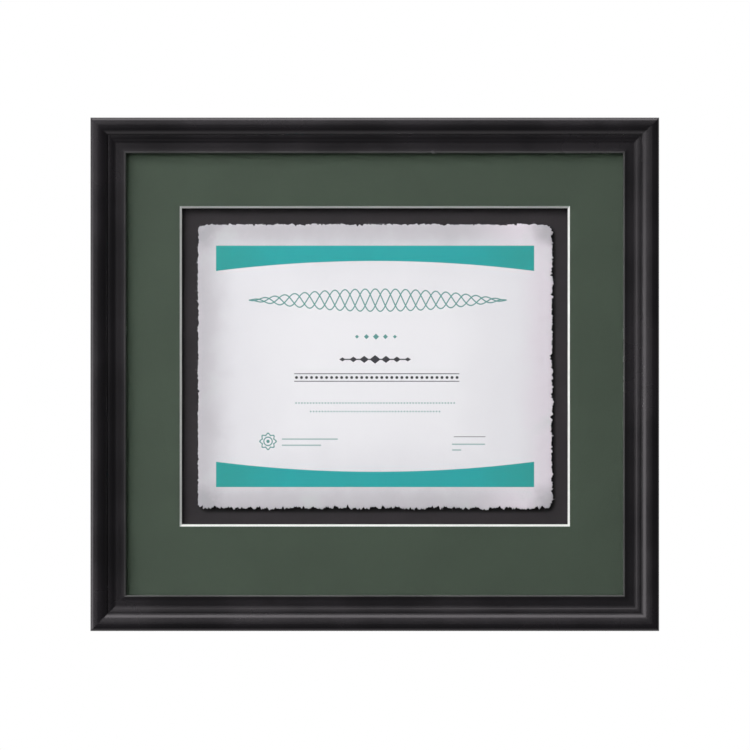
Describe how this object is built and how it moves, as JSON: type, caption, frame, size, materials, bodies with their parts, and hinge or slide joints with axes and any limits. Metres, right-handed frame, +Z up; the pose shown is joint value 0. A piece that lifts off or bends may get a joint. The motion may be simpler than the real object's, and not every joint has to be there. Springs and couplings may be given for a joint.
{
  "type": "certificate frame",
  "caption": "Wall-hung certificate frame: mitred moulding, glazing, bevelled mat, floated deckle-edged sheet, turn-button back and ring hangers.",
  "frame": {"origin": "middle of the frame's outline, on the plane of the rails' backs", "axes": "+X to the viewer's right, +Y from the front towards the wall, +Z up"},
  "size_m": [0.407, 0.0258, 0.3676],
  "materials": {
    "black_wood": "satin black lacquer",
    "glazing": "clear sheet",
    "mat_green": "matte dark green facing paper",
    "mat_white": "white core",
    "spacer_black": "black foam strip",
    "board_charcoal": "matte charcoal board",
    "board_white": "white board",
    "tape": "adhesive tape",
    "certificate_paper": "deckle-edged sheet with printed bands",
    "hardboard": "brown hardboard",
    "nickel_steel": "nickel-plated steel",
    "nail_steel": "bare steel",
    "bumper_rubber": "black rubber"
  },
  "bodies": {
    "frame": {"rail_top": "black_wood", "rail_bottom": "black_wood", "rail_left": "black_wood", "rail_right": "black_wood", "corner_v_nails": "nail_steel", "glazing": "glazing", "mat_face_paper": "mat_green", "mat_core": "mat_white", "spacer_top": "spacer_black", "spacer_bottom": "spacer_black", "spacer_left": "spacer_black", "spacer_right": "spacer_black", "mount_board": "board_charcoal", "certificate_riser": "board_white", "mounting_tapes": "tape", "certificate": "certificate_paper", "backing_board": "hardboard", "turn_button_screws": "nickel_steel", "hanger_screws": "nickel_steel", "hanger_strap_left": "nickel_steel", "hanger_strap_right": "nickel_steel", "bumper_left": "bumper_rubber", "bumper_right": "bumper_rubber"},
    "turn_button_top_left": {"turn_button_top_left": "nickel_steel"},
    "turn_button_top_right": {"turn_button_top_right": "nickel_steel"},
    "turn_button_bottom_left": {"turn_button_bottom_left": "nickel_steel"},
    "turn_button_bottom_right": {"turn_button_bottom_right": "nickel_steel"},
    "turn_button_left_upper": {"turn_button_left_upper": "nickel_steel"},
    "turn_button_left_lower": {"turn_button_left_lower": "nickel_steel"},
    "turn_button_right_upper": {"turn_button_right_upper": "nickel_steel"},
    "turn_button_right_lower": {"turn_button_right_lower": "nickel_steel"},
    "hanger_ring_left": {"hanger_ring_left": "nickel_steel"},
    "hanger_ring_right": {"hanger_ring_right": "nickel_steel"}
  },
  "joints": [
    {"name": "turn_button_top_left_swivel", "type": "hinge", "parent": "frame", "child": "turn_button_top_left", "pos_m": [-0.11396, 0, 0.17425], "axis": [0, 1, 0], "continuous": true},
    {"name": "turn_button_top_right_swivel", "type": "hinge", "parent": "frame", "child": "turn_button_top_right", "pos_m": [0.11396, 0, 0.17425], "axis": [0, 1, 0], "continuous": true},
    {"name": "turn_button_bottom_left_swivel", "type": "hinge", "parent": "frame", "child": "turn_button_bottom_left", "pos_m": [-0.11396, 0, -0.17425], "axis": [0, 1, 0], "continuous": true},
    {"name": "turn_button_bottom_right_swivel", "type": "hinge", "parent": "frame", "child": "turn_button_bottom_right", "pos_m": [0.11396, 0, -0.17425], "axis": [0, 1, 0], "continuous": true},
    {"name": "turn_button_left_upper_swivel", "type": "hinge", "parent": "frame", "child": "turn_button_left_upper", "pos_m": [-0.194, 0, 0.11392], "axis": [0, 1, 0], "continuous": true},
    {"name": "turn_button_left_lower_swivel", "type": "hinge", "parent": "frame", "child": "turn_button_left_lower", "pos_m": [-0.194, 0, -0.11392], "axis": [0, 1, 0], "continuous": true},
    {"name": "turn_button_right_upper_swivel", "type": "hinge", "parent": "frame", "child": "turn_button_right_upper", "pos_m": [0.194, 0, 0.11392], "axis": [0, 1, 0], "continuous": true},
    {"name": "turn_button_right_lower_swivel", "type": "hinge", "parent": "frame", "child": "turn_button_right_lower", "pos_m": [0.194, 0, -0.11392], "axis": [0, 1, 0], "continuous": true},
    {"name": "hanger_ring_left_swing", "type": "hinge", "parent": "frame", "child": "hanger_ring_left", "pos_m": [-0.194, 0.00185, 0.06174], "axis": [-1, 0, 0], "range_deg": [0, 177.8]},
    {"name": "hanger_ring_right_swing", "type": "hinge", "parent": "frame", "child": "hanger_ring_right", "pos_m": [0.194, 0.00185, 0.06174], "axis": [-1, 0, 0], "range_deg": [0, 177.8]}
  ]
}
